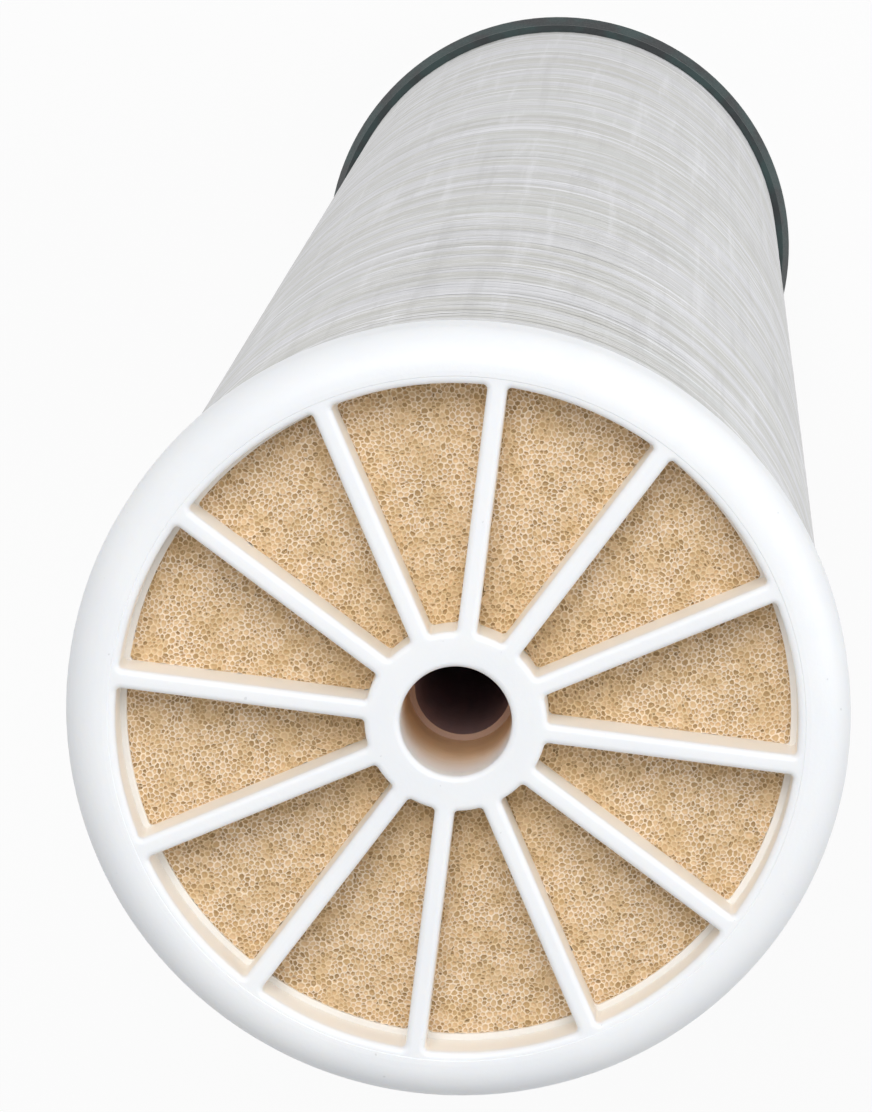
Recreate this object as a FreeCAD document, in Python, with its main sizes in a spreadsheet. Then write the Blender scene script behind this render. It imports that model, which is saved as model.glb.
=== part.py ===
import FreeCAD, Part
import math
import os
import Sketcher

# An 8 inch by 40 inch spiral-wound membrane element, standing on its feed end.
# +Z runs along the element, from the feed end at 0 to the concentrate end at elementLength.
# Both end caps are drawn face down, with their outer face at z = 0 and the roll above them.

doc = FreeCAD.newDocument("MembraneElement")

# ---- Driving dimensions -------------------------------------------------------------------------

drivingSizes = [
    ("elementLength", 1016, "rim face to rim face"),
    ("rimDiameter", 201, "end caps, over the rims"),
    ("rimWidth", 13.55, "rim, from its outside to the opening"),
    ("rimFlat", 1.25, "flat ring of the rim face"),
    ("rimDepth", 21, "concentrate rim, front to back"),
    ("rimBackChamfer", 0.8, "back corner of each rim"),
    ("concentrateFaceDepth", 15, "rim face to the roll's end, concentrate side"),
    ("ledgeWidth", 1.6, "ledge at the foot of the rim's inner wall"),
    ("ledgeHeight", 1.6, "the same ledge, along the axis"),
    ("spokeCount", 12, "spokes in each end cap"),
    ("spokeWidth", 5, "across one spoke"),
    ("spokeDrop", 0.2, "spokes and hub lie this much below the rim face"),
    ("stepMargin", 0.3, "rounded window edge to the step up to the rim face"),
    ("windowCorner", 1.2, "corner of a water window"),
    ("windowRounding", 1.6, "front edges of spokes, hub and rim"),
    ("hubWall", 4.25, "hub round the permeate tube"),
    ("hubNose", 6, "rim face to the tube's end inside the hub"),
    ("boreLip", 1.5, "rounded mouth of the hub's bore"),
    ("skirtWall", 1.4, "end cap skirt, under the shell"),
    ("skirtLength", 28, "skirt, from the shell's end"),
    ("skirtTaper", 8, "thinned end of the skirt"),
    ("skirtTip", 0.5, "skirt wall at its tip"),
    ("feedFlange", 6, "feed cap, rim in front of the seal"),
    ("flangeRounding", 4, "outer corner of the feed rim"),
    ("sealGrooveDepth", 9.5, "seal's groove, below the rim"),
    ("sealGrooveWidth", 12, "groove along the axis"),
    ("grooveBack", 2, "wall between groove and roll"),
    ("sealGap", 0.2, "seal to each side of its groove"),
    ("sealStandOut", 1.0, "free lip of the seal, beyond the rim"),
    ("sealHeelRise", 3.2, "heel of the seal, above the shell"),
    ("sealHeelHeight", 3, "straight part of the seal's heel"),
    ("sealLipWall", 2.2, "sealing lip"),
    ("sealRootWall", 2.9, "the same lip, at its root"),
    ("sealCupDepth", 7, "cup between the seal's two lips"),
    ("tubeDiameter", 38.1, "permeate tube, outside"),
    ("portBore", 28.6, "permeate port at each end"),
    ("portDepth", 45, "port, from the rim face"),
    ("portStep", 1.6, "shoulder from the port down to the tube's own bore"),
    ("weepHole", 3.4, "holes that let permeate into the tube"),
    ("weepPitch", 94, "weep holes of one row, apart"),
    ("weepMargin", 90, "rim face to the first weep hole"),
    ("tapeWall", 0.4, "closing tape round the roll"),
    ("turnPitch", 5, "from one pack of turns to the next"),
    ("turnGap", 1.2, "feed channel between two packs"),
    ("turnDepth", 1.2, "channel cut into the roll's end"),
    ("turnMargin", 1, "last turn of the channel to the tape"),
    ("shellInset", 5, "shell surface, below the rim"),
    ("shellWall", 3, "glass-fibre shell on the taped roll"),
]

sheet = doc.addObject("Spreadsheet::Sheet", "Sizes")
for row, (alias, value, meaning) in enumerate(drivingSizes, 1):
    sheet.set("A%d" % row, alias)
    sheet.set("B%d" % row, str(value))
    sheet.setAlias("B%d" % row, alias)
    sheet.set("C%d" % row, meaning)
doc.recompute()

# Sizes that follow from the sheet, as expressions.
rimRadius = "Sizes.rimDiameter / 2"
openingRadius = "(Sizes.rimDiameter / 2 - Sizes.rimWidth)"
stepRadius = "(%s + Sizes.windowRounding + Sizes.stepMargin)" % openingRadius
rimRounding = "(%s - %s - Sizes.spokeDrop - Sizes.rimFlat)" % (rimRadius, stepRadius)
tubeRadius = "Sizes.tubeDiameter / 2"
hubRadius = "(Sizes.tubeDiameter / 2 + Sizes.hubWall)"
portRadius = "Sizes.portBore / 2"
tubeBoreRadius = "(Sizes.portBore / 2 - Sizes.portStep)"
shellRadius = "(Sizes.rimDiameter / 2 - Sizes.shellInset)"
tapeRadius = "(%s - Sizes.shellWall)" % shellRadius
rollRadius = "(%s - Sizes.tapeWall)" % tapeRadius
skirtRadius = "(%s + Sizes.skirtWall)" % tapeRadius
skirtTipRadius = "(%s + Sizes.skirtTip)" % tapeRadius
grooveRadius = "(Sizes.rimDiameter / 2 - Sizes.sealGrooveDepth)"
sealLipRadius = "(Sizes.rimDiameter / 2 + Sizes.sealStandOut)"
sealHeelRadius = "(%s + Sizes.sealHeelRise)" % shellRadius
grooveEnd = "(Sizes.feedFlange + Sizes.sealGrooveWidth)"
feedFaceDepth = "(%s + Sizes.grooveBack)" % grooveEnd
rollLength = "(Sizes.elementLength - Sizes.concentrateFaceDepth - %s)" % feedFaceDepth


def number(expression):
    return float(sheet.evalExpression(expression))


def size(alias):
    return number("Sizes." + alias)


# ---- Sketch and body helpers --------------------------------------------------------------------

def newBody(label):
    body = doc.addObject("PartDesign::Body", label)
    body.Label = label
    return body


def originFeature(body, role):
    return next(item for item in body.Origin.OriginFeatures if item.Role == role)


def newSketch(body, name, plane):
    sketch = body.newObject("Sketcher::SketchObject", name)
    sketch.AttachmentSupport = [(originFeature(body, plane), "")]
    sketch.MapMode = "FlatFace"
    return sketch


def bindSize(sketch, constraint, expression):
    index = sketch.addConstraint(constraint)
    sketch.setExpression("Constraints[%d]" % index, expression)


def pinVertex(sketch, edge, end, across, up):
    """Hold one vertex at two distances from the sketch's origin."""
    point = sketch.getPoint(edge, end)
    if across == "0":
        sketch.addConstraint(Sketcher.Constraint("PointOnObject", edge, end, -2))
    else:
        bindSize(sketch, Sketcher.Constraint("DistanceX", -1, 1, edge, end, point.x), across)
    if up == "0":
        sketch.addConstraint(Sketcher.Constraint("PointOnObject", edge, end, -1))
    else:
        bindSize(sketch, Sketcher.Constraint("DistanceY", -1, 1, edge, end, point.y), up)


def arcThrough(start, finish, radius, turn):
    """An arc from start to finish that turns left (+1) or right (-1)."""
    chord = finish - start
    middle = (start + finish) * 0.5
    side = FreeCAD.Vector(-chord.y, chord.x, 0).normalize() * turn
    centre = middle + side * math.sqrt(max(radius ** 2 - chord.Length ** 2 / 4, 0))
    return Part.Arc(start, centre - side * radius, finish)


def drawOutline(sketch, path):
    """Close a path of corners (across, up) into an outline.

    A corner with a radius and a turn is reached by an arc instead of a line.
    """
    corners = [FreeCAD.Vector(number(corner[0]), number(corner[1]), 0) for corner in path]
    for index, corner in enumerate(path):
        start = corners[index - 1]
        finish = corners[index]
        if len(corner) > 2:
            edge = sketch.addGeometry(arcThrough(start, finish, number(corner[2]), corner[3]), False)
            bindSize(sketch, Sketcher.Constraint("Radius", edge, number(corner[2])), corner[2])
        else:
            edge = sketch.addGeometry(Part.LineSegment(start, finish), False)
    for index, corner in enumerate(path):
        following = (index + 1) % len(path)
        leaving = 1 if sketch.getPoint(following, 1).isEqual(corners[index], 1e-6) else 2
        arriving = 1 if sketch.getPoint(index, 1).isEqual(corners[index], 1e-6) else 2
        sketch.addConstraint(Sketcher.Constraint("Coincident", index, arriving, following, leaving))
        pinVertex(sketch, index, arriving, corner[0], corner[1])


def revolveOutline(body, name, path):
    """Turn an outline drawn as (radius, height) about the body's Z axis."""
    sketch = newSketch(body, name + "Outline", "XZ_Plane")
    drawOutline(sketch, path)
    turned = body.newObject("PartDesign::Revolution", name)
    turned.Profile = sketch
    turned.ReferenceAxis = (sketch, ["V_Axis"])
    turned.Angle = 360
    doc.recompute()
    return turned


# ---- End caps -----------------------------------------------------------------------------------

def drawWindow(sketch, outerRadius):
    """One water window between two spokes: two spoke sides, hub arc, outer arc, four round corners."""
    sector = 2 * math.pi / size("spokeCount")
    halfSpoke = size("spokeWidth") / 2
    corner = size("windowCorner")
    inner = number(hubRadius)
    outer = number(outerRadius)
    centreUp = halfSpoke + corner
    innerAcross = math.sqrt((inner + corner) ** 2 - centreUp ** 2)
    outerAcross = math.sqrt((outer - corner) ** 2 - centreUp ** 2)
    innerCorner = FreeCAD.Vector(innerAcross, centreUp, 0)
    outerCorner = FreeCAD.Vector(outerAcross, centreUp, 0)
    upward = FreeCAD.Vector(0, 0, 1)

    def mirrored(point):
        angle = sector - math.atan2(point.y, point.x)
        return FreeCAD.Vector(math.cos(angle), math.sin(angle), 0) * point.Length

    def arc(centre, radius, start, finish):
        first = math.atan2(start.y - centre.y, start.x - centre.x)
        last = math.atan2(finish.y - centre.y, finish.x - centre.x)
        if last < first:
            last += 2 * math.pi
        return Part.ArcOfCircle(Part.Circle(centre, upward, radius), first, last)

    sideStart = FreeCAD.Vector(innerAcross, halfSpoke, 0)
    sideEnd = FreeCAD.Vector(outerAcross, halfSpoke, 0)
    rimStart = outerCorner * (outer / outerCorner.Length)
    hubStart = innerCorner * (inner / innerCorner.Length)
    centre = FreeCAD.Vector(0, 0, 0)
    edges = [
        Part.LineSegment(sideStart, sideEnd),
        arc(outerCorner, corner, sideEnd, rimStart),
        arc(centre, outer, rimStart, mirrored(rimStart)),
        arc(mirrored(outerCorner), corner, mirrored(rimStart), mirrored(sideEnd)),
        Part.LineSegment(mirrored(sideEnd), mirrored(sideStart)),
        arc(mirrored(innerCorner), corner, mirrored(sideStart), mirrored(hubStart)),
        arc(centre, inner, hubStart, mirrored(hubStart)),
        arc(innerCorner, corner, hubStart, sideStart),
    ]
    for edge in edges:
        sketch.addGeometry(edge, False)
    # The hub arc runs against the loop, so its ends are met the other way round.
    joints = [(edge, 2, edge + 1, 1) for edge in range(5)] + [(5, 2, 6, 2), (6, 1, 7, 1), (7, 2, 0, 1)]
    for first, firstEnd, second, secondEnd in joints:
        sketch.addConstraint(Sketcher.Constraint("Tangent", first, firstEnd, second, secondEnd))
    for edge in (2, 6):
        sketch.addConstraint(Sketcher.Constraint("Coincident", edge, 3, -1, 1))
    sketch.addConstraint(Sketcher.Constraint("Horizontal", 0))
    bindSize(sketch, Sketcher.Constraint("DistanceY", -1, 1, 0, 1, halfSpoke), "Sizes.spokeWidth / 2")
    bindSize(sketch, Sketcher.Constraint("Distance", -1, 1, 4, halfSpoke), "Sizes.spokeWidth / 2")
    bindSize(sketch, Sketcher.Constraint("Radius", 2, outer), outerRadius)
    bindSize(sketch, Sketcher.Constraint("Radius", 6, inner), hubRadius)
    for edge in (1, 3, 5, 7):
        bindSize(sketch, Sketcher.Constraint("Radius", edge, corner), "Sizes.windowCorner")
    return sketch


def cutWindows(body, base, faceDepth):
    """Cut the water windows, each with a ledge at its foot, and round their front edges."""
    window = body.newObject("PartDesign::Pocket", "Window")
    window.Profile = drawWindow(newSketch(body, "WindowOutline", "XY_Plane"), openingRadius)
    window.Reversed = True
    window.setExpression("Length", "%s - Sizes.ledgeHeight" % faceDepth)
    doc.recompute()
    foot = body.newObject("PartDesign::Pocket", "WindowFoot")
    footRadius = "%s - Sizes.ledgeWidth" % openingRadius
    foot.Profile = drawWindow(newSketch(body, "WindowFootOutline", "XY_Plane"), footRadius)
    foot.Reversed = True
    foot.setExpression("Length", faceDepth)
    doc.recompute()
    assert base.Shape.Volume > window.Shape.Volume > foot.Shape.Volume

    ring = body.newObject("PartDesign::PolarPattern", "Windows")
    ring.Originals = [window, foot]
    ring.Axis = (originFeature(body, "Z_Axis"), [""])
    ring.Angle = 360
    ring.setExpression("Occurrences", "Sizes.spokeCount")
    body.Tip = ring
    doc.recompute()

    front = size("spokeDrop")
    nearest = number(hubRadius) - 0.01
    farthest = number(openingRadius) + 0.01
    frontEdges = []
    for index, edge in enumerate(ring.Shape.Edges, 1):
        ends = [vertex.Point for vertex in edge.Vertexes]
        level = all(abs(end.z - front) < 1e-4 for end in ends)
        within = all(nearest < math.hypot(end.x, end.y) < farthest for end in ends)
        if level and within:
            frontEdges.append("Edge%d" % index)
    rounding = body.newObject("PartDesign::Fillet", "WindowEdges")
    rounding.Base = (ring, frontEdges)
    rounding.setExpression("Radius", "Sizes.windowRounding")
    body.Tip = rounding
    doc.recompute()


def hubAndWeb(faceDepth):
    """The part of a cap's outline that both caps share, from the tube's socket to the rim's step."""
    return [
        (tubeRadius, faceDepth),
        (tubeRadius, "Sizes.hubNose"),
        (portRadius, "Sizes.hubNose"),
        (portRadius, "Sizes.spokeDrop + Sizes.boreLip"),
        (portRadius + " + Sizes.boreLip", "Sizes.spokeDrop", "Sizes.boreLip", 1),
        (stepRadius, "Sizes.spokeDrop"),
        (stepRadius + " + Sizes.spokeDrop", "0"),
    ]


def skirtOutline(shellEnd, faceDepth):
    """A cap's skirt, which the shell is wound over, down to the shoulder that the roll butts on."""
    return [
        (skirtRadius, shellEnd),
        (skirtRadius, "%s + Sizes.skirtLength - Sizes.skirtTaper" % shellEnd),
        (skirtTipRadius, "%s + Sizes.skirtLength" % shellEnd),
        (tapeRadius, "%s + Sizes.skirtLength" % shellEnd),
        (tapeRadius, faceDepth),
    ]


def makeConcentrateCap():
    """Moulded cap at the top: a broad rounded rim, twelve spokes and the hub round the tube."""
    body = newBody("concentrate_end_cap")
    outline = hubAndWeb("Sizes.concentrateFaceDepth") + [
        ("%s - %s" % (rimRadius, rimRounding), "0"),
        (rimRadius, rimRounding, rimRounding, 1),
        (rimRadius, "Sizes.rimDepth - Sizes.rimBackChamfer"),
        (rimRadius + " - Sizes.rimBackChamfer", "Sizes.rimDepth"),
    ] + skirtOutline("Sizes.rimDepth", "Sizes.concentrateFaceDepth")
    base = revolveOutline(body, "CapBlank", outline)
    cutWindows(body, base, "Sizes.concentrateFaceDepth")
    faceUp = FreeCAD.Rotation(FreeCAD.Vector(1, 0, 0), 180)
    body.Placement = FreeCAD.Placement(FreeCAD.Vector(0, 0, 0), faceUp)
    body.setExpression("Placement.Base.z", "Sizes.elementLength")
    return body


def makeFeedCap():
    """Moulded cap at the bottom, with the groove that carries the brine seal."""
    body = newBody("feed_end_cap")
    outline = hubAndWeb(feedFaceDepth) + [
        (rimRadius + " - Sizes.flangeRounding", "0"),
        (rimRadius, "Sizes.flangeRounding", "Sizes.flangeRounding", 1),
        (rimRadius, "Sizes.feedFlange - Sizes.rimBackChamfer"),
        (rimRadius + " - Sizes.rimBackChamfer", "Sizes.feedFlange"),
        (grooveRadius, "Sizes.feedFlange"),
        (grooveRadius, grooveEnd),
    ] + skirtOutline(grooveEnd, feedFaceDepth)
    base = revolveOutline(body, "CapBlank", outline)
    cutWindows(body, base, feedFaceDepth)
    return body


# ---- Brine seal ---------------------------------------------------------------------------------

def makeBrineSeal():
    """Rubber U-cup in the feed cap's groove: its cup and its flared lip face the feed."""
    body = newBody("brine_seal")
    bottom = "Sizes.feedFlange + Sizes.sealGap"
    heel = "%s - Sizes.sealGap" % grooveEnd
    cupFloor = "%s + Sizes.sealCupDepth" % bottom
    revolveOutline(body, "SealCup", [
        (grooveRadius, bottom),
        (grooveRadius + " + Sizes.sealLipWall", bottom),
        (grooveRadius + " + Sizes.sealLipWall", cupFloor),
        (sealHeelRadius + " - Sizes.sealRootWall", cupFloor),
        (sealLipRadius + " - Sizes.sealLipWall", bottom),
        (sealLipRadius, "%s + Sizes.sealLipWall / 2" % bottom),
        (sealHeelRadius, "%s - Sizes.sealHeelHeight" % heel),
        (sealHeelRadius, heel),
        (grooveRadius, heel),
    ])
    return body


# ---- Permeate tube ------------------------------------------------------------------------------

def drillWeepHoles(body, name, plane, firstHeight, count):
    """A row of weep holes right through the tube, so that it comes out on both sides."""
    sketch = newSketch(body, name + "Spot", plane)
    spot = FreeCAD.Vector(0, number(firstHeight), 0)
    hole = sketch.addGeometry(Part.Circle(spot, FreeCAD.Vector(0, 0, 1), size("weepHole") / 2), False)
    bindSize(sketch, Sketcher.Constraint("Diameter", hole, size("weepHole")), "Sizes.weepHole")
    pinVertex(sketch, hole, 3, "0", firstHeight)
    drilled = body.newObject("PartDesign::Pocket", name)
    drilled.Profile = sketch
    drilled.Type = "ThroughAll"
    drilled.Midplane = True
    doc.recompute()
    row = body.newObject("PartDesign::LinearPattern", name + "Row")
    row.Originals = [drilled]
    row.Direction = (originFeature(body, "Z_Axis"), [""])
    row.Occurrences = count
    row.setExpression("Length", "Sizes.weepPitch * %d" % (count - 1))
    body.Tip = row
    doc.recompute()


def makePermeateTube():
    """Central tube: a wider port at each end and four rows of weep holes between them."""
    body = newBody("permeate_tube")
    lowEnd = "Sizes.hubNose"
    highEnd = "Sizes.elementLength - Sizes.hubNose"
    revolveOutline(body, "TubeWall", [
        (portRadius, lowEnd),
        (tubeRadius, lowEnd),
        (tubeRadius, highEnd),
        (portRadius, highEnd),
        (portRadius, "Sizes.elementLength - Sizes.portDepth"),
        (tubeBoreRadius, "Sizes.elementLength - Sizes.portDepth"),
        (tubeBoreRadius, "Sizes.portDepth"),
        (portRadius, "Sizes.portDepth"),
    ])
    span = size("elementLength") - 2 * size("weepMargin")
    count = int(span / size("weepPitch")) + 1
    drillWeepHoles(body, "WeepHole", "XZ_Plane", "Sizes.weepMargin", count)
    staggered = "Sizes.weepMargin + Sizes.weepPitch / 2"
    drillWeepHoles(body, "WeepHoleBetween", "YZ_Plane", staggered, count - 1)
    return body


# ---- Membrane roll ------------------------------------------------------------------------------

def drawTurns(sketch):
    """The channel between two packs of turns: a spiral of half circles about two centres."""
    shift = size("turnPitch") / 2
    inner = number(tubeRadius) + shift
    reach = number(rollRadius) - size("turnMargin") - size("turnGap")
    turns = int((reach - inner) / size("turnPitch"))
    centres = (FreeCAD.Vector(0, 0, 0), FreeCAD.Vector(shift, 0, 0))
    upward = FreeCAD.Vector(0, 0, 1)
    for half in range(2 * turns):
        centre = centres[half % 2]
        first = math.pi * (half % 2)
        for radius in (inner + half * shift, inner + half * shift + size("turnGap")):
            circle = Part.Circle(centre, upward, radius)
            sketch.addGeometry(Part.ArcOfCircle(circle, first, first + math.pi), False)
    start = FreeCAD.Vector(inner, 0, 0)
    finish = FreeCAD.Vector(inner + 2 * turns * shift, 0, 0)
    gap = FreeCAD.Vector(size("turnGap"), 0, 0)
    sketch.addGeometry(Part.LineSegment(start, start + gap), False)
    sketch.addGeometry(Part.LineSegment(finish, finish + gap), False)
    return sketch


def makeMembraneRoll():
    """Leaves, feed spacer and permeate carrier, wound and glued on the tube into one solid."""
    body = newBody("membrane_roll")
    section = newSketch(body, "RollSection", "XY_Plane")
    for radius in (tubeRadius, rollRadius):
        circle = Part.Circle(FreeCAD.Vector(0, 0, 0), FreeCAD.Vector(0, 0, 1), number(radius))
        edge = section.addGeometry(circle, False)
        section.addConstraint(Sketcher.Constraint("Coincident", edge, 3, -1, 1))
        bindSize(section, Sketcher.Constraint("Radius", edge, number(radius)), radius)
    roll = body.newObject("PartDesign::Pad", "Roll")
    roll.Profile = section
    roll.setExpression("Length", rollLength)
    doc.recompute()

    lower = body.newObject("PartDesign::Pocket", "LowerTurns")
    lower.Profile = drawTurns(newSketch(body, "LowerSpiral", "XY_Plane"))
    lower.Reversed = True
    lower.setExpression("Length", "Sizes.turnDepth")
    doc.recompute()
    spiral = drawTurns(newSketch(body, "UpperSpiral", "XY_Plane"))
    spiral.setExpression("AttachmentOffset.Base.z", rollLength)
    upper = body.newObject("PartDesign::Pocket", "UpperTurns")
    upper.Profile = spiral
    upper.setExpression("Length", "Sizes.turnDepth")
    doc.recompute()
    assert roll.Shape.Volume > lower.Shape.Volume > upper.Shape.Volume
    body.setExpression("Placement.Base.z", feedFaceDepth)
    return body


def makeRollTape():
    """Closing tape that keeps the wound roll tight under the shell."""
    body = newBody("roll_tape")
    low = feedFaceDepth
    high = "Sizes.elementLength - Sizes.concentrateFaceDepth"
    revolveOutline(body, "Tape", [
        (rollRadius, low),
        (tapeRadius, low),
        (tapeRadius, high),
        (rollRadius, high),
    ])
    return body


# ---- Shell --------------------------------------------------------------------------------------

def makeShell():
    """Glass fibre wound over the taped roll and over the skirts of both end caps."""
    body = newBody("fibreglass_shell")
    low = grooveEnd
    high = "Sizes.elementLength - Sizes.rimDepth"
    revolveOutline(body, "WoundShell", [
        (skirtRadius, low),
        (shellRadius, low),
        (shellRadius, high),
        (skirtRadius, high),
        (skirtRadius, high + " - Sizes.skirtLength + Sizes.skirtTaper"),
        (skirtTipRadius, high + " - Sizes.skirtLength"),
        (tapeRadius, high + " - Sizes.skirtLength"),
        (tapeRadius, low + " + Sizes.skirtLength"),
        (skirtTipRadius, low + " + Sizes.skirtLength"),
        (skirtRadius, low + " + Sizes.skirtLength - Sizes.skirtTaper"),
    ])
    return body


# ---- Build, check and write ---------------------------------------------------------------------

subParts = [
    makeConcentrateCap(),
    makeFeedCap(),
    makeBrineSeal(),
    makePermeateTube(),
    makeMembraneRoll(),
    makeRollTape(),
    makeShell(),
]
doc.recompute()

for item in doc.Objects:
    broken = [word for word in ("Invalid", "Error") if word in item.State]
    if broken:
        raise RuntimeError("%s is %s" % (item.Label, broken))
for part in subParts:
    if part.Shape.isNull() or not part.Shape.isValid():
        raise RuntimeError(part.Label + " has no valid shape")
    if len(part.Shape.Solids) != 1:
        raise RuntimeError("%s has %d solids" % (part.Label, len(part.Shape.Solids)))

os.makedirs("parts", exist_ok=True)
for part in subParts:
    part.Shape.exportStep(os.path.join("parts", part.Label + ".step"))
    print("%-22s %12.1f mm3" % (part.Label, part.Shape.Volume))
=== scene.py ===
import math
import random

import bmesh
import bpy
from mathutils import Matrix, Vector
from mathutils.geometry import delaunay_2d_cdt


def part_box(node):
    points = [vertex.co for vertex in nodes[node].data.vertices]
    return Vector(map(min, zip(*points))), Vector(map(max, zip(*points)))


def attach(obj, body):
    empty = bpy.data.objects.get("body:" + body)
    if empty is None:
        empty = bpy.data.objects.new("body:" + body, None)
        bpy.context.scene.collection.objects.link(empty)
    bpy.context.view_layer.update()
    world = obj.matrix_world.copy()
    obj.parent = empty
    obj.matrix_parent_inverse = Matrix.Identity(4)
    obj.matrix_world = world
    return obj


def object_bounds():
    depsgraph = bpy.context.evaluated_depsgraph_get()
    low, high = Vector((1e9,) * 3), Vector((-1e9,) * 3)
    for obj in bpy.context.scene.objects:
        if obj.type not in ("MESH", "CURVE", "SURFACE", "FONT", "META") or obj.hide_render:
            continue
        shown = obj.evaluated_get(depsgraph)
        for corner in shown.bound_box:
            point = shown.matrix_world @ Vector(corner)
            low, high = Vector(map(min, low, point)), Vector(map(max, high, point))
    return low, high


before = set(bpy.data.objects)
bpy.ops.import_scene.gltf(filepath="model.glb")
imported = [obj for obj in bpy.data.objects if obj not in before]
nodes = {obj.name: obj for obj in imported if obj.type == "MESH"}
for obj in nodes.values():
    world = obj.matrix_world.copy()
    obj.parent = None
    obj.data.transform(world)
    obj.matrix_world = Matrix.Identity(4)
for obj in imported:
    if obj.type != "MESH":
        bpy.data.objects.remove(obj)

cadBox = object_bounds()
collection = bpy.context.scene.collection
print("frame loaded,", len(nodes), "nodes")


# A socket that takes part in Python sums: each operator adds a Math node.
class Wire:
    def __init__(self, board, socket):
        self.board = board
        self.socket = socket

    def __add__(self, other):
        return self.board.maths("ADD", self, other)

    def __radd__(self, other):
        return self.board.maths("ADD", other, self)

    def __sub__(self, other):
        return self.board.maths("SUBTRACT", self, other)

    def __rsub__(self, other):
        return self.board.maths("SUBTRACT", other, self)

    def __mul__(self, other):
        return self.board.maths("MULTIPLY", self, other)

    def __rmul__(self, other):
        return self.board.maths("MULTIPLY", other, self)

    def __truediv__(self, other):
        return self.board.maths("DIVIDE", self, other)

    def __rtruediv__(self, other):
        return self.board.maths("DIVIDE", other, self)

    def __pow__(self, other):
        return self.board.maths("POWER", self, other)


# A node tree for a finish or a Geometry Nodes piece, with the few calls both need.
class Board:
    def __init__(self, tree):
        self.tree = tree

    def node(self, kind, settings=None, values=None, output=0):
        made = self.tree.nodes.new(kind)
        for name, setting in (settings or {}).items():
            setattr(made, name, setting)
        for name, value in (values or {}).items():
            if isinstance(value, Wire):
                self.tree.links.new(value.socket, made.inputs[name])
            else:
                made.inputs[name].default_value = value
        return Wire(self, made.outputs[output]) if made.outputs else None

    def also(self, wire, output):  # another output of the node that a wire comes from
        return Wire(self, wire.socket.node.outputs[output])

    def maths(self, operation, *terms):
        return self.node("ShaderNodeMath", {"operation": operation}, dict(enumerate(terms)))

    def split(self, vector):
        first = self.node("ShaderNodeSeparateXYZ", values={0: vector})
        return first, self.also(first, 1), self.also(first, 2)

    def join(self, x=0.0, y=0.0, z=0.0):
        return self.node("ShaderNodeCombineXYZ", values={0: x, 1: y, 2: z})

    def between(self, value, low, high):  # 0 at low, 1 at high, smooth on the way
        return self.node("ShaderNodeMapRange", {"interpolation_type": "SMOOTHSTEP"},
                         {"Value": value, "From Min": low, "From Max": high})

    def noise(self, place, grain, detail=3.0, rough=0.5, twist=0.0):
        return self.node("ShaderNodeTexNoise", {"noise_dimensions": "3D"}, {
            "Vector": place, "Scale": 1 / grain, "Detail": detail, "Roughness": rough, "Distortion": twist})

    def polar(self, x, y):  # distance from the element's axis, and turns about it
        return self.maths("SQRT", x * x + y * y), self.maths("ARCTAN2", y, x) / (2 * math.pi)


# A material of its own board, ending in one Principled shader.
class Finish(Board):
    def __init__(self, name):
        self.material = bpy.data.materials.new(name)
        self.material.use_nodes = True
        super().__init__(self.material.node_tree)
        self.tree.nodes.clear()

    def place(self):
        return self.node("ShaderNodeTexCoord", output="Object")

    def blend(self, share, first, second):  # a Mix node for two colours
        colours = [colour if isinstance(colour, Wire) else (*colour, 1) for colour in (first, second)]
        values = {0: share, 6: colours[0], 7: colours[1]}
        return self.node("ShaderNodeMix", {"data_type": "RGBA"}, values, output=2)

    def bump(self, height, depth):
        return self.node("ShaderNodeBump", values={"Height": height, "Distance": depth})

    def shade(self, **values):
        named = {name.replace("_", " "): value for name, value in values.items()}
        shader = self.node("ShaderNodeBsdfPrincipled", values=named)
        self.show(shader)
        return self.material

    def show(self, shader):
        self.node("ShaderNodeOutputMaterial", values={"Surface": shader})


# Turns a Geometry Nodes tree, with the mesh it starts from, into a plain mesh piece.
def grow(name, tree, sizes, material, start=None):
    base = bpy.data.objects.new(name + "Seed", start or bpy.data.meshes.new(name + "Seed"))
    collection.objects.link(base)
    modifier = base.modifiers.new(name, "NODES")
    modifier.node_group = tree
    for item in tree.interface.items_tree:
        if item.in_out == "INPUT" and item.name in sizes:
            modifier[item.identifier] = sizes[item.name]
        if item.in_out == "INPUT" and item.name == "finish":
            modifier[item.identifier] = material
    grown = base.evaluated_get(bpy.context.evaluated_depsgraph_get())
    mesh = bpy.data.meshes.new_from_object(grown)
    piece = bpy.data.objects.new(name, mesh)
    collection.objects.link(piece)
    base.modifiers.remove(modifier)
    bpy.data.objects.remove(base)
    mesh.name = name
    mesh.materials.clear()
    mesh.materials.append(material)
    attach(piece, "root")
    mesh.calc_loop_triangles()
    print(name, "grown,", len(mesh.loop_triangles), "triangles")
    return piece


# A Geometry Nodes tree with named inputs; returns its board, its input wires and a closing call.
def newTree(name, inputs):
    tree = bpy.data.node_groups.new(name, "GeometryNodeTree")
    tree.interface.new_socket("Geometry", in_out="INPUT", socket_type="NodeSocketGeometry")
    for label, kind in inputs.items():
        tree.interface.new_socket(label, in_out="INPUT", socket_type="NodeSocket" + kind)
    tree.interface.new_socket("finish", in_out="INPUT", socket_type="NodeSocketMaterial")
    tree.interface.new_socket("Geometry", in_out="OUTPUT", socket_type="NodeSocketGeometry")
    board = Board(tree)
    entry = tree.nodes.new("NodeGroupInput")
    wires = {label: Wire(board, entry.outputs[label]) for label in [*inputs, "finish"]}

    def close(geometry):
        realized = board.node("GeometryNodeRealizeInstances", values={0: geometry})
        painted = board.node("GeometryNodeSetMaterial", values={
            "Geometry": realized, "Material": wires["finish"]})
        board.node("NodeGroupOutput", values={"Geometry": painted})
        return tree

    return board, wires, close


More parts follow.
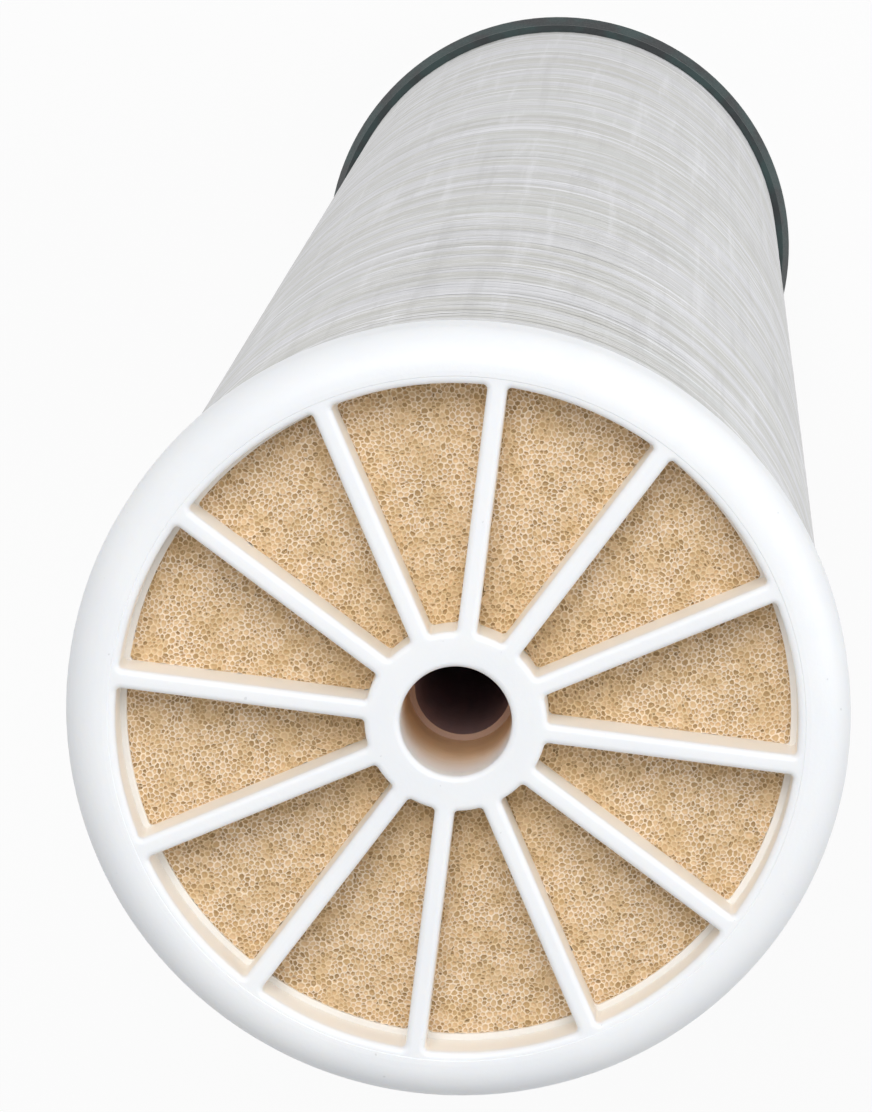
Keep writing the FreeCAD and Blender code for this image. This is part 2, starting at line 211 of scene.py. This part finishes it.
camera = {
    "eye": (0.1642, 0.2347, 2.3341),
    "aim": (0.0123, 0.0415, 1.016),
    "up": (0.3778, 0.9089, -0.1767),
    "lens": 171.8,
}


def placeCamera():
    data = bpy.data.cameras.new("camera")
    data.lens = camera["lens"]
    data.sensor_width = 36
    data.clip_start = 0.05
    seer = bpy.data.objects.new("camera", data)
    back = (Vector(camera["eye"]) - Vector(camera["aim"])).normalized()
    right = Vector(camera["up"]).cross(back).normalized()
    up = back.cross(right)
    turn = Matrix((right, up, back)).transposed().to_4x4()
    seer.matrix_world = Matrix.Translation(camera["eye"]) @ turn
    collection.objects.link(seer)
    bpy.context.scene.camera = seer


placeCamera()

lamps = {
    "key": {"place": (0.66, 1.58, 3.40), "size": 2.0, "power": 52, "colour": (1.0, 0.995, 0.985)},
    "side": {"place": (2.2, -0.6, 1.9), "size": 1.6, "power": 14, "colour": (0.96, 0.98, 1.0)},
}
lampAim = (0, 0, 0.9)
surround = {
    "level": 0.52,
    "tint": (0.985, 0.992, 1.0),
    "floorColour": (0.85, 0.85, 0.85),
    "floorWhite": 0.9,  # share of plain white in the floor that the camera sees
    "floorRadius": 9,
}


def lightRoom():
    for name, lamp in lamps.items():
        data = bpy.data.lights.new(name, "AREA")
        data.shape = "DISK"
        data.size = lamp["size"]
        data.energy = lamp["power"]
        data.color = lamp["colour"]
        light = bpy.data.objects.new(name, data)
        place = Vector(lamp["place"])
        turn = (place - Vector(lampAim)).to_track_quat("Z", "Y").to_matrix().to_4x4()
        light.matrix_world = Matrix.Translation(place) @ turn
        collection.objects.link(light)

    world = bpy.data.worlds.new("room")
    world.use_nodes = True
    world.node_tree.nodes.clear()
    board = Board(world.node_tree)
    seen = seenDirectly(board)
    lit = board.node("ShaderNodeBackground", values={
        "Color": (*surround["tint"], 1), "Strength": surround["level"]})
    white = board.node("ShaderNodeBackground", values={"Color": (1, 1, 1, 1), "Strength": 1.0})
    mixed = board.node("ShaderNodeMixShader", values={0: seen, 1: lit, 2: white})
    board.node("ShaderNodeOutputWorld", values={"Surface": mixed})
    bpy.context.scene.world = world

    floorFinish = Finish("floor")
    plain = floorFinish.node("ShaderNodeBsdfDiffuse", values={"Color": (*surround["floorColour"], 1)})
    bright = floorFinish.node("ShaderNodeEmission", values={"Color": (1, 1, 1, 1), "Strength": 1.0})
    share = seenDirectly(floorFinish) * surround["floorWhite"]
    floorFinish.show(floorFinish.node("ShaderNodeMixShader", values={0: share, 1: plain, 2: bright}))
    mesh = bpy.data.meshes.new("floor")
    shape = bmesh.new()
    bmesh.ops.create_circle(shape, cap_ends=True, radius=surround["floorRadius"], segments=96)
    shape.to_mesh(mesh)
    shape.free()
    mesh.materials.append(floorFinish.material)
    floor = bpy.data.objects.new("floor", mesh)
    collection.objects.link(floor)


# 1 for a ray that shows the room itself, straight or in a glossy or clear surface.
def seenDirectly(board):
    straight = board.node("ShaderNodeLightPath", output="Is Camera Ray")
    glossy = board.also(straight, "Is Glossy Ray")
    through = board.also(straight, "Is Transmission Ray")
    return board.maths("MAXIMUM", board.maths("MAXIMUM", straight, glossy), through)


lightRoom()
bpy.context.scene.view_settings.view_transform = "Standard"
print("camera, lamps and floor placed")

capPlastic = {
    "white": (0.865, 0.880, 0.900),
    "cooler": (0.835, 0.853, 0.880),
    "paintedBounceCream": (0.955, 0.895, 0.815),  # painted bounce light: warm light off the tan roll, on the walls of the water windows
    "flow": 0.045,  # broad flow marks, metres
    "peel": 0.0011,  # orange peel of the moulded skin
    "roughness": 0.42,
}


def makeCapPlastic():
    finish = Finish("capPlastic")
    place = finish.place()
    flow = finish.noise(place, capPlastic["flow"], detail=2, twist=0.6)
    peel = finish.noise(place, capPlastic["peel"], detail=2)
    scuff = finish.noise(place, 0.004, detail=5, rough=0.65)
    colour = finish.blend(finish.between(flow, 0.35, 0.7), capPlastic["white"], capPlastic["cooler"])
    speck = finish.between(finish.noise(place, 0.0021, detail=1), 0.79, 0.83)
    colour = finish.blend(speck * 0.35, colour, (0.48, 0.49, 0.50))
    x, y, z = finish.split(place)
    depth = finish.maths("MINIMUM", z, cadBox[1].z - z)
    radius = finish.maths("SQRT", x * x + y * y)
    # Painted bounce light: the walls of the water windows are tinted cream, standing in for light thrown off the
    # tan roll.
    paintedBounceShare = finish.between(depth, 0.0008, 0.0040) * finish.between(radius, 0.0890, 0.0875)
    colour = finish.blend(paintedBounceShare * 0.75, colour, capPlastic["paintedBounceCream"])
    normal = finish.bump(peel * 0.6 + flow * 0.4, 0.00006)
    return finish.shade(
        Base_Color=colour,
        Roughness=capPlastic["roughness"] + finish.between(scuff, 0.45, 0.75) * 0.12,
        Normal=normal,
        Subsurface_Weight=0.45,
        Subsurface_Radius=(1.0, 0.88, 0.75),
        Subsurface_Scale=0.004,
        Specular_IOR_Level=0.4,
    )


shellFibre = {
    "glass": (0.640, 0.640, 0.665),
    "resin": (0.530, 0.525, 0.490),
    "green": (0.585, 0.600, 0.570),
    "pale": (0.90, 0.90, 0.94),
    "dark": (0.36, 0.355, 0.35),
    "roughness": 0.38,
}


def makeShellFibre():
    finish = Finish("shellFibre")
    x, y, z = finish.split(finish.place())
    lines = finish.noise(finish.join(x * 7, y * 7, z * 420), 1.0, detail=4, rough=0.62)
    wide = finish.noise(finish.join(x * 5, y * 5, z * 95), 1.0, detail=3, rough=0.6)
    patch = finish.noise(finish.join(x * 11, y * 11, z * 40), 1.0, detail=3, rough=0.6)
    broken = finish.noise(finish.join(x * 30, y * 30, z * 620), 1.0, detail=3, rough=0.6)
    along = finish.noise(finish.join(x * 190, y * 190, z * 6), 1.0, detail=4, rough=0.6)
    fleck = finish.noise(finish.join(x * 150, y * 150, z * 900), 1.0, detail=2)
    colour = finish.blend(finish.between(wide, 0.38, 0.60), shellFibre["resin"], shellFibre["glass"])
    colour = finish.blend(finish.between(patch, 0.50, 0.68) * 0.6, colour, shellFibre["green"])
    colour = finish.blend(finish.between(lines, 0.47, 0.33) * 0.50, colour, shellFibre["dark"])
    colour = finish.blend(finish.between(lines, 0.53, 0.68) * 0.75, colour, shellFibre["pale"])
    colour = finish.blend(finish.between(broken, 0.58, 0.70) * 0.85, colour, shellFibre["pale"])
    colour = finish.blend(finish.between(fleck, 0.56, 0.72) * 0.30, colour, shellFibre["pale"])
    colour = finish.blend(finish.between(along, 0.53, 0.72) * 0.28, colour, shellFibre["pale"])
    colour = finish.blend(finish.between(along, 0.46, 0.30) * 0.22, colour, shellFibre["dark"])
    normal = finish.bump(lines * 0.6 + broken * 0.4, 0.00035)
    return finish.shade(
        Base_Color=colour,
        Roughness=shellFibre["roughness"] + finish.between(lines, 0.3, 0.7) * 0.18,
        Normal=normal,
        Coat_Weight=0.25,
        Coat_Roughness=0.22,
    )


netFinish = {
    "strand": (0.95, 0.79, 0.61),
    "golden": (0.82, 0.61, 0.34),
    "cell": (0.56, 0.37, 0.175),
    "palm": (0.72, 0.51, 0.295),
    "deep": (0.38, 0.24, 0.10),
    "turn": 0.005,
}


def makeNetFinish():
    finish = Finish("netFinish")
    place = finish.place()
    x, y, z = finish.split(place)
    height = finish.node("ShaderNodeAttribute", {"attribute_name": "crest"}, output="Fac")
    tone = finish.node("ShaderNodeAttribute", {"attribute_name": "tone"}, output="Fac")
    radius, angle = finish.polar(x, y)
    turn = finish.maths("FRACT", radius / netFinish["turn"] - angle)
    gap = finish.between(finish.maths("ABSOLUTE", turn - 0.5), 0.38, 0.5)
    blotch = finish.noise(place, 0.007, detail=4)
    fine = finish.noise(place, 0.0007, detail=2)
    cell = finish.blend(finish.between(tone, 0.1, 0.9), netFinish["cell"], netFinish["palm"])
    cell = finish.blend(finish.between(tone, 0.22, 0.02) * 0.8, cell, netFinish["deep"])
    strand = finish.blend(finish.between(blotch, 0.56, 0.36) * 0.8, netFinish["strand"], netFinish["golden"])
    strand = finish.blend(finish.between(radius, 0.052, 0.026) * 0.7, strand, netFinish["golden"])
    shown = finish.between(height + (fine - 0.5) * 0.9, 0.42, 0.86)
    colour = finish.blend(shown, cell, strand)
    colour = finish.blend(gap * 0.16 + finish.between(blotch, 0.5, 0.3) * 0.18, colour, netFinish["cell"])
    return finish.shade(
        Base_Color=colour,
        Roughness=0.55,
        Normal=finish.bump(fine, 0.00015),
        Subsurface_Weight=0.12,
        Subsurface_Radius=(1.0, 0.7, 0.4),
        Subsurface_Scale=0.0008,
    )


rollEdge = {"sheet": (0.66, 0.48, 0.27), "gap": (0.30, 0.20, 0.09), "pitch": 0.00085}


def makeRollEdge():
    finish = Finish("rollEdge")
    place = finish.place()
    x, y, z = finish.split(place)
    radius, angle = finish.polar(x, y)
    leaf = finish.maths("FRACT", radius / rollEdge["pitch"] - angle)
    seam = finish.between(finish.maths("ABSOLUTE", leaf - 0.5), 0.30, 0.5)
    mottle = finish.noise(place, 0.004, detail=4)
    colour = finish.blend(seam, rollEdge["sheet"], rollEdge["gap"])
    colour = finish.blend(mottle * 0.4, colour, (0.50, 0.35, 0.18))
    return finish.shade(Base_Color=colour, Roughness=0.6, Normal=finish.bump(1 - seam, 0.0002))


tubePlastic = {
    # Pale at the ends fading to tan deeper in is painted light falloff into the bore, over the tube's own tan;
    # inside is painted deep shade past the step.
    "mouth": (0.93, 0.87, 0.84),
    "body": (0.86, 0.60, 0.36),
    "inside": (0.50, 0.38, 0.42),
    "stain": (0.62, 0.40, 0.24),
}


def makeTubePlastic():
    finish = Finish("tubePlastic")
    place = finish.place()
    x, y, z = finish.split(place)
    low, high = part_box("permeate_tube")
    depth = finish.maths("MINIMUM", z - low.z, high.z - z)
    turned = finish.noise(finish.join(x * 12, y * 12, z * 900), 1.0, detail=3)
    stain = finish.noise(place, 0.008, detail=4)
    # Painted light falloff: pale near the tube's ends, tan deeper into the bore.
    colour = finish.blend(finish.between(depth, -0.004, 0.026), tubePlastic["mouth"], tubePlastic["body"])
    stained = finish.between(stain, 0.4, 0.7) * 0.30 * finish.between(depth, 0.006, 0.02)
    colour = finish.blend(stained, colour, tubePlastic["stain"])
    # Painted shade: past about 39 mm deep the bore turns dark.
    colour = finish.blend(finish.between(depth, 0.0385, 0.0395), colour, tubePlastic["inside"])
    return finish.shade(
        Base_Color=colour,
        Roughness=0.40 + finish.between(turned, 0.4, 0.7) * 0.15,
        Normal=finish.bump(turned, 0.00008),
        Subsurface_Weight=0.2,
        Subsurface_Radius=(1.0, 0.6, 0.4),
        Subsurface_Scale=0.004,
    )


sealRubber = {"black": (0.012, 0.016, 0.018), "teal": (0.016, 0.040, 0.040), "roughness": 0.46}


def makeSealRubber():
    finish = Finish("sealRubber")
    place = finish.place()
    x, y, z = finish.split(place)
    bloom = finish.noise(place, 0.012, detail=4)
    grain = finish.noise(place, 0.0008, detail=3)
    lines = finish.noise(finish.join(x * 3, y * 3, z * 1500), 1.0, detail=2)
    colour = finish.blend(finish.between(bloom, 0.35, 0.65), sealRubber["black"], sealRubber["teal"])
    return finish.shade(
        Base_Color=colour,
        Roughness=sealRubber["roughness"] + finish.between(grain, 0.3, 0.7) * 0.14,
        Normal=finish.bump(grain * 0.5 + lines * 0.5, 0.00008),
        Specular_IOR_Level=0.5,
    )


def makeTapeFilm():
    finish = Finish("tapeFilm")
    place = finish.place()
    x, y, z = finish.split(place)
    lap = finish.maths("FRACT", z / 0.048 + finish.maths("ARCTAN2", y, x) / (2 * math.pi))
    edge = finish.between(finish.maths("ABSOLUTE", lap - 0.5), 0.47, 0.5)
    wrinkle = finish.noise(place, 0.01, detail=4)
    colour = finish.blend(edge * 0.6, (0.78, 0.76, 0.70), (0.58, 0.55, 0.48))
    colour = finish.blend(wrinkle * 0.2, colour, (0.88, 0.87, 0.83))
    normal = finish.bump(edge + wrinkle * 0.3, 0.0002)
    return finish.shade(Base_Color=colour, Roughness=0.28 + wrinkle * 0.1, Normal=normal)


finishes = {
    "concentrate_end_cap": makeCapPlastic(),
    "fibreglass_shell": makeShellFibre(),
    "membrane_roll": makeRollEdge(),
    "permeate_tube": makeTubePlastic(),
    "roll_tape": makeTapeFilm(),
    "brine_seal": makeSealRubber(),
}
finishes["feed_end_cap"] = finishes["concentrate_end_cap"]
for name, node in nodes.items():
    for slot in node.material_slots:
        slot.material = finishes[name]
print("finishes given to the nodes")

# The feed spacer's cut edge: a fine net of irregular cells over each end of the roll.
endNet = {
    "cellPitch": 0.00125,
    "stray": 0.50,  # how far a cell may leave its place, in cells
    "innerRadius": 0.0233,
    "outerRadius": 0.08535,
    "spokeCount": 12,
    "halfSpoke": 0.0025,
    "rise": 0.00075,  # crests above the roll's end
    "pit": 0.00065,  # cell floors below the crests
    "pitShare": 0.42,
    "unevenness": 0.00035,
    "seed": 11,
}


# Three-cornered faces between points strewn at random; the tree turns them into cells.
def strewPoints():
    chance = random.Random(endNet["seed"])
    pitch, stray = endNet["cellPitch"], endNet["stray"]
    nearest, farthest = endNet["innerRadius"] - 2 * pitch, endNet["outerRadius"] + 2 * pitch
    reach = math.ceil(farthest / pitch)
    points = []
    for row in range(-reach, reach + 1):
        for column in range(-reach, reach + 1):
            across, along = chance.uniform(-stray, stray), chance.uniform(-stray, stray)
            point = Vector((column + across, row + along)) * pitch
            if nearest < point.length < farthest:
                points.append(point)
    corners, edges, faces = delaunay_2d_cdt(points, [], [], 0, 1e-7)[:3]
    mesh = bpy.data.meshes.new("strewnPoints")
    mesh.from_pydata([(corner.x, corner.y, 0) for corner in corners], [], faces)
    mesh.update()
    if mesh.polygons[0].normal.z < 0:
        mesh.flip_normals()
    return mesh


def makeNetTree():
    floats = ["cellPitch", "innerRadius", "outerRadius", "spokeCount", "halfSpoke", "pit", "pitShare",
              "unevenness", "endHeight", "endTurn"]
    board, size, close = newTree("endNet", {**{name: "Float" for name in floats}, "seed": "Int"})
    entry = size["finish"].socket.node.outputs["Geometry"]
    cells = board.node("GeometryNodeDualMesh", values={"Mesh": Wire(board, entry)})

    # Only the cells in the water windows stay, and their outer corners meet the cap's walls.
    x, y, z = board.split(board.node("GeometryNodeInputPosition"))
    radius = board.maths("SQRT", x * x + y * y)
    angle = board.maths("ARCTAN2", y, x)
    sector = 2 * math.pi / size["spokeCount"]
    spoke = board.maths("ROUND", angle / sector) * sector
    offSpoke = angle - spoke
    beside = board.maths("ABSOLUTE", radius * board.maths("SINE", offSpoke))
    edge = size["cellPitch"] * 0.45
    inside = (board.maths("GREATER_THAN", beside, size["halfSpoke"] - edge)
              * board.maths("GREATER_THAN", radius, size["innerRadius"] - edge)
              * board.maths("LESS_THAN", radius, size["outerRadius"] + edge))
    kept = board.node("GeometryNodeDeleteGeometry", {"domain": "FACE", "mode": "ALL"},
                      {"Geometry": cells, "Selection": 1 - inside})
    held = board.maths("MINIMUM", board.maths("MAXIMUM", radius, size["innerRadius"]), size["outerRadius"])
    aside = board.maths("ABSOLUTE", held * board.maths("SINE", offSpoke))
    aside = board.maths("MAXIMUM", aside, size["halfSpoke"])
    side = board.maths("SIGN", offSpoke) * aside
    forward = board.maths("SQRT", held * held - side * side)
    cosine, sine = board.maths("COSINE", spoke), board.maths("SINE", spoke)
    uneven = board.node("ShaderNodeTexNoise", values={"Scale": 1 / 0.0018, "Detail": 2.0})
    crestHeight = (uneven - 0.5) * size["unevenness"] * 2
    placed = board.join(forward * cosine - side * sine, forward * sine + side * cosine, crestHeight)
    seated = board.node("GeometryNodeSetPosition", values={"Geometry": kept, "Position": placed})
    merged = board.node("GeometryNodeMergeByDistance", values={"Geometry": seated, "Distance": 0.00002})
    marked = board.node("GeometryNodeStoreNamedAttribute", {"data_type": "FLOAT", "domain": "POINT"},
                        {"Geometry": merged, "Name": "crest", "Value": 1.0})
    tone = board.node("FunctionNodeRandomValue", {"data_type": "FLOAT"},
                      {"Seed": size["seed"] + 2}, output=1)
    toned = board.node("GeometryNodeStoreNamedAttribute", {"data_type": "FLOAT", "domain": "FACE"},
                       {"Geometry": marked, "Name": "tone", "Value": tone})

    # Each cell sinks to a small floor, so the walls between cells stand as strands.
    depth = board.node("FunctionNodeRandomValue", {"data_type": "FLOAT"},
                       {2: 0.55, 3: 1.3, "Seed": size["seed"] + 1}, output=1)
    sunk = board.node("GeometryNodeExtrudeMesh", {"mode": "FACES"}, {
        "Mesh": toned, "Offset": board.join(0.0, 0.0, size["pit"] * depth * -1),
        "Offset Scale": 1.0, "Individual": True})
    floor = board.also(sunk, "Top")
    narrowed = board.node("GeometryNodeScaleElements", {"domain": "FACE"}, {
        "Geometry": sunk, "Selection": floor, "Scale": size["pitShare"]})
    floored = board.node("GeometryNodeStoreNamedAttribute", {"data_type": "FLOAT", "domain": "POINT"},
                         {"Geometry": narrowed, "Selection": floor, "Name": "crest", "Value": 0.0})
    smooth = board.node("GeometryNodeSetShadeSmooth", values={"Geometry": floored, "Shade Smooth": True})
    moved = board.node("GeometryNodeTransform", values={
        "Geometry": smooth, "Translation": board.join(0.0, 0.0, size["endHeight"]),
        "Rotation": board.join(size["endTurn"])})
    return close(moved)


netTree = makeNetTree()
netMaterial = makeNetFinish()
rollLow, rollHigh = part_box("membrane_roll")
for name, height, turn in (("concentrate_spacer_net", rollHigh.z + endNet["rise"], 0.0),
                           ("feed_spacer_net", rollLow.z - endNet["rise"], math.pi)):
    netSizes = {**endNet, "endHeight": height, "endTurn": turn}
    grow(name, netTree, netSizes, netMaterial, strewPoints())

# The glass roving, wound round the shell in one long lapped band.
winding = {
    "bandWidth": 0.0056,
    "stepsRound": 96,
    "valley": 0.00004,
    "crown": 0.00030,
    "lap": 0.00010,
    "wander": 0.0022,
    "seed": 3,
}


def makeWindingTree():
    floats = ["bandWidth", "valley", "crown", "lap", "wander", "shellRadius", "bottom", "top"]
    inputs = {**{name: "Float" for name in floats}, "stepsRound": "Int", "seed": "Int"}
    board, size, close = newTree("winding", inputs)
    band = size["bandWidth"]
    turns = board.maths("CEIL", (size["top"] - size["bottom"]) / band) + 2
    grid = board.node("GeometryNodeMeshGrid", values={
        "Size X": turns, "Size Y": 1.0, "Vertices X": turns * size["stepsRound"] + 1, "Vertices Y": 5})
    x, y, z = board.split(board.node("GeometryNodeInputPosition"))
    turn = x + turns / 2
    angle = turn * (2 * math.pi)
    height = size["bottom"] + (turn - 1 + y) * band
    cosine, sine = board.maths("COSINE", angle), board.maths("SINE", angle)
    wave = board.node("ShaderNodeTexNoise", {"noise_dimensions": "3D"}, {
        "Vector": board.join(cosine * 1.3, sine * 1.3, height * 45 + size["seed"]), "Scale": 1.0, "Detail": 2.0})
    height = height + (wave - 0.5) * size["wander"] * 2
    level = board.maths("MINIMUM", board.maths("MAXIMUM", height, size["bottom"]), size["top"])
    fullness = board.node("ShaderNodeTexNoise", {"noise_dimensions": "3D"}, {
        "Vector": board.join(cosine * 2.2, sine * 2.2, height * 200), "Scale": 1.0})
    crown = (1 - y * y * 4) * size["crown"] * (fullness + 0.5) + (y + 0.5) * size["lap"]
    radius = size["shellRadius"] + size["valley"] + crown
    placed = board.join(radius * cosine, radius * sine, level)
    wound = board.node("GeometryNodeSetPosition", values={"Geometry": grid, "Position": placed})
    x, y, z = board.split(board.node("GeometryNodeInputPosition"))
    past = board.maths("MAXIMUM", board.maths("LESS_THAN", z, size["bottom"] + 0.00002),
                       board.maths("GREATER_THAN", z, size["top"] - 0.00002))
    trimmed = board.node("GeometryNodeDeleteGeometry", {"domain": "FACE", "mode": "ALL"},
                         {"Geometry": wound, "Selection": past})
    smooth = board.node("GeometryNodeSetShadeSmooth", values={"Geometry": trimmed, "Shade Smooth": True})
    return close(smooth)


shellLow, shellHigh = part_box("fibreglass_shell")
shellSizes = {"shellRadius": shellHigh.x, "bottom": shellLow.z, "top": shellHigh.z}
windingSizes = {**winding, **shellSizes}
grow("shell_winding", makeWindingTree(), windingSizes, finishes["fibreglass_shell"])
